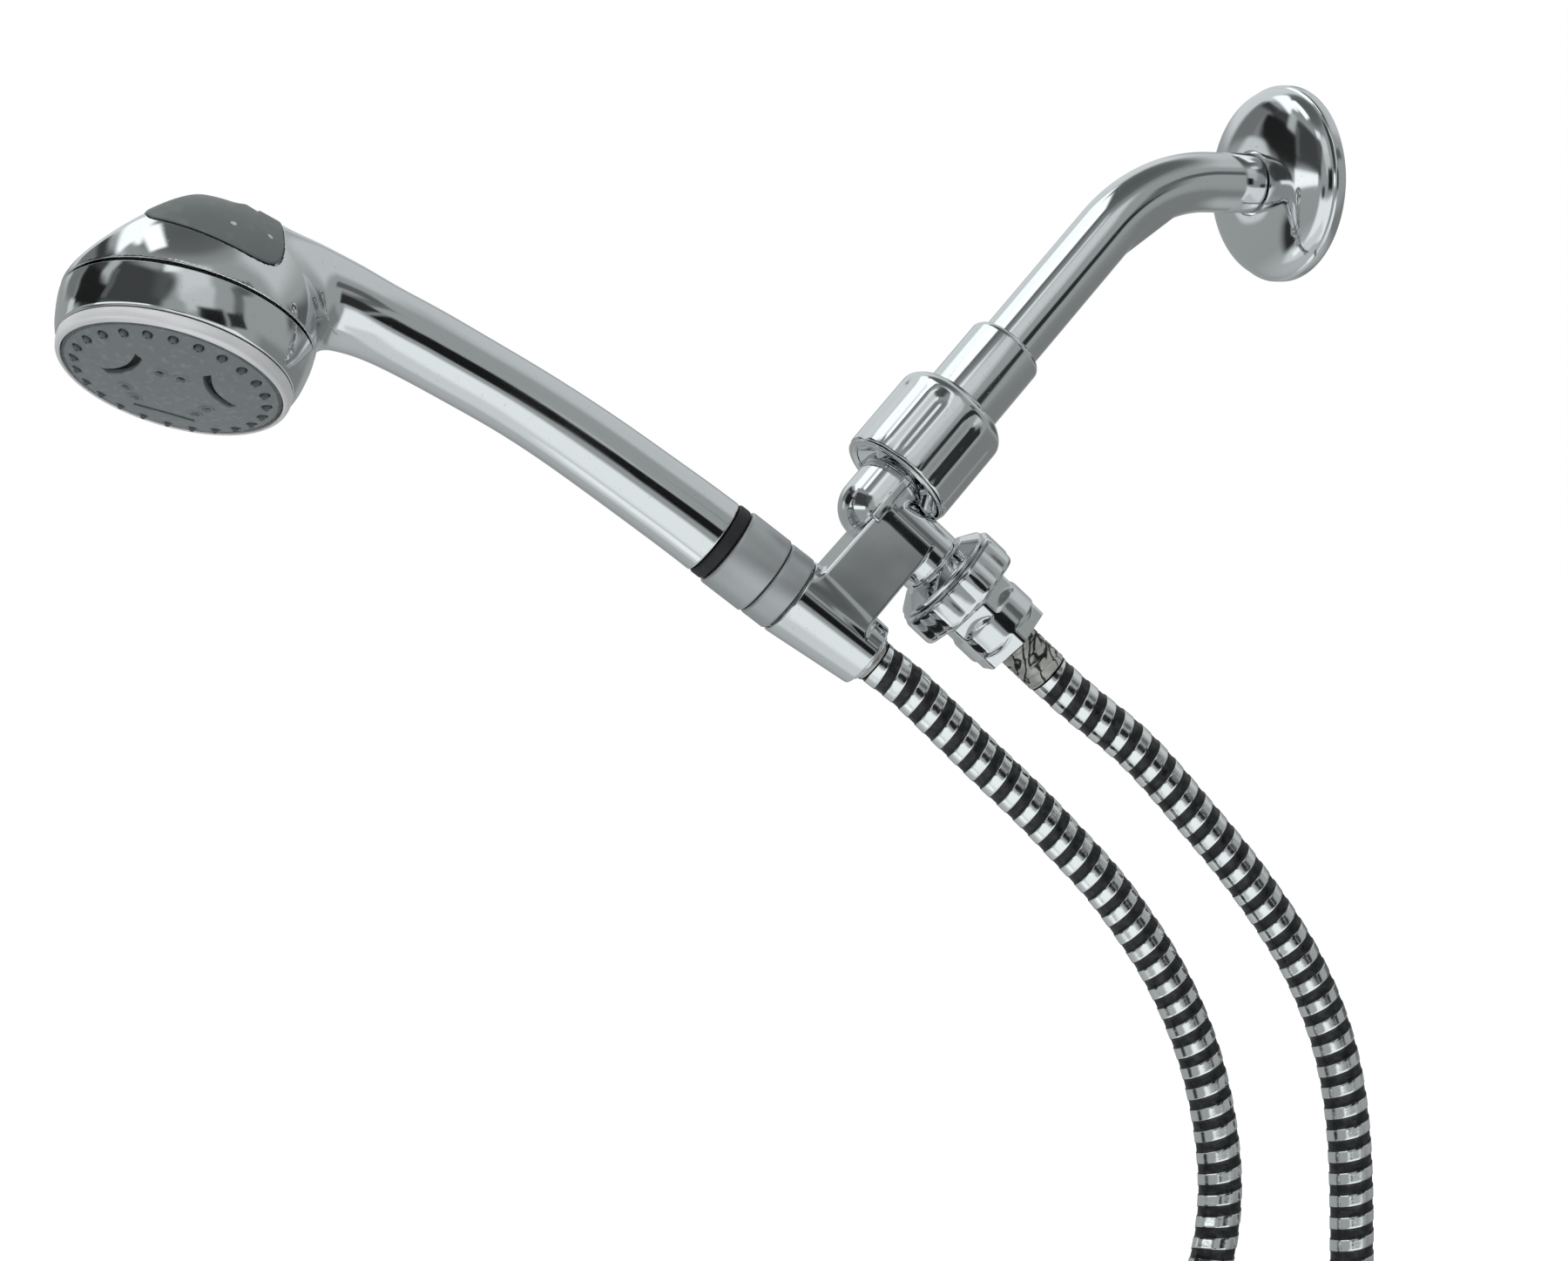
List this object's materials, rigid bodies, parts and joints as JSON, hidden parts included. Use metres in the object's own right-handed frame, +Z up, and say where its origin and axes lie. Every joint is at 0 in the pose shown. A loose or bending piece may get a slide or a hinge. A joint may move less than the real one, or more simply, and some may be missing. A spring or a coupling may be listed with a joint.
{
  "type": "handheld shower head",
  "caption": "Chrome handheld shower on a bent wall arm, with a ball-joint cradle bracket, a spiral-wound hose loop and a dial spray head.",
  "frame": {"origin": "centre of the wall flange on the wall plane, where the arm enters the wall", "axes": "+Z up, the arm leaves the wall toward -Y, +X to the right for someone facing the wall"},
  "size_m": [0.1509, 0.4563, 0.7465],
  "materials": {
    "chrome": "polished",
    "satin": "satin",
    "brass": "machined",
    "steel": "bright",
    "slate": "matte",
    "rubber": "matte",
    "white_plastic": "moulded",
    "grey_plastic": "moulded",
    "hose_cover": "spiral wound, black with a bright strip"
  },
  "bodies": {
    "wall_arm": {"shower_arm": "chrome", "wall_flange": "chrome", "arm_collar": "chrome", "filter_screen": "steel", "collar_washer": "rubber"},
    "clamp_nut": {"ball_nut": "chrome", "ball_retainer": "chrome"},
    "swivel": {"ball_seat_washer": "rubber"},
    "tilt": {"ball_o_ring": "rubber"},
    "bracket": {"bracket_ball": "chrome", "neck_o_ring": "rubber", "bracket_body": "chrome", "outlet_coupling": "chrome", "coupling_washer": "rubber", "check_flap": "rubber", "hose_washer": "rubber", "bracket_insert": "brass", "bracket_ferrule": "satin", "hose": "hose_cover"},
    "coupling_nut": {"hose_nut": "chrome"},
    "hose_end": {"cone_insert": "brass", "cone_ferrule": "satin"},
    "handset": {"hose_cone": "chrome", "cone_washer": "rubber", "inlet_spigot": "brass", "inlet_screen": "steel", "flow_regulator": "grey_plastic", "swivel_ring": "satin", "barrel_nut": "satin", "handle_seal": "rubber", "spigot_o_ring": "rubber", "handle_housing": "chrome", "crown_inlay": "slate", "waterway": "white_plastic", "head_manifold": "white_plastic", "manifold_screw_1": "steel", "manifold_screw_2": "steel", "manifold_o_ring": "rubber", "detent_ball": "steel", "detent_spring": "steel"},
    "selector": {"selector_bezel": "chrome", "trim_ring": "satin", "spray_face": "slate", "nozzle_mat": "rubber", "selector_plate": "white_plastic", "retaining_clip": "steel"},
    "rotor": {"turbine": "white_plastic"}
  },
  "joints": [
    {"name": "nut_turn", "type": "hinge", "parent": "wall_arm", "child": "clamp_nut", "pos_m": [0, -0.15302, -0.09266], "axis": [0, 0.7071, 0.7071], "range_deg": [0, 180]},
    {"name": "ball_swivel", "type": "hinge", "parent": "wall_arm", "child": "swivel", "pos_m": [0, -0.15302, -0.09266], "axis": [0, 0.7071, 0.7071], "range_deg": [-60, 60]},
    {"name": "ball_tilt", "type": "hinge", "parent": "swivel", "child": "tilt", "pos_m": [0, -0.15302, -0.09266], "axis": [0.9667, -0.181, 0.181], "range_deg": [-8, 0]},
    {"name": "ball_rock", "type": "hinge", "parent": "tilt", "child": "bracket", "pos_m": [0, -0.15302, -0.09266], "axis": [0.256, 0.6836, -0.6836], "range_deg": [-8, 8]},
    {"name": "hose_nut_turn", "type": "hinge", "parent": "bracket", "child": "coupling_nut", "pos_m": [0, -0.17246, -0.1121], "axis": [0.256, 0.6836, -0.6836], "continuous": true},
    {"name": "handset_lift", "type": "slide", "parent": "bracket", "child": "hose_end", "axis": [-0.2548, -0.7464, 0.6148], "range_m": [0, 0.05]},
    {"name": "handset_turn", "type": "hinge", "parent": "hose_end", "child": "handset", "pos_m": [-0.00056, -0.20403, -0.14067], "axis": [-0.2548, -0.7464, 0.6148], "continuous": true},
    {"name": "dial_turn", "type": "hinge", "parent": "handset", "child": "selector", "pos_m": [-0.03447, -0.40721, -0.06697], "axis": [-0.3153, 0.3937, 0.8635], "range_deg": [-60, 60]},
    {"name": "rotor_spin", "type": "hinge", "parent": "selector", "child": "rotor", "pos_m": [-0.03447, -0.40721, -0.06697], "axis": [-0.3153, 0.3937, 0.8635], "continuous": true}
  ]
}
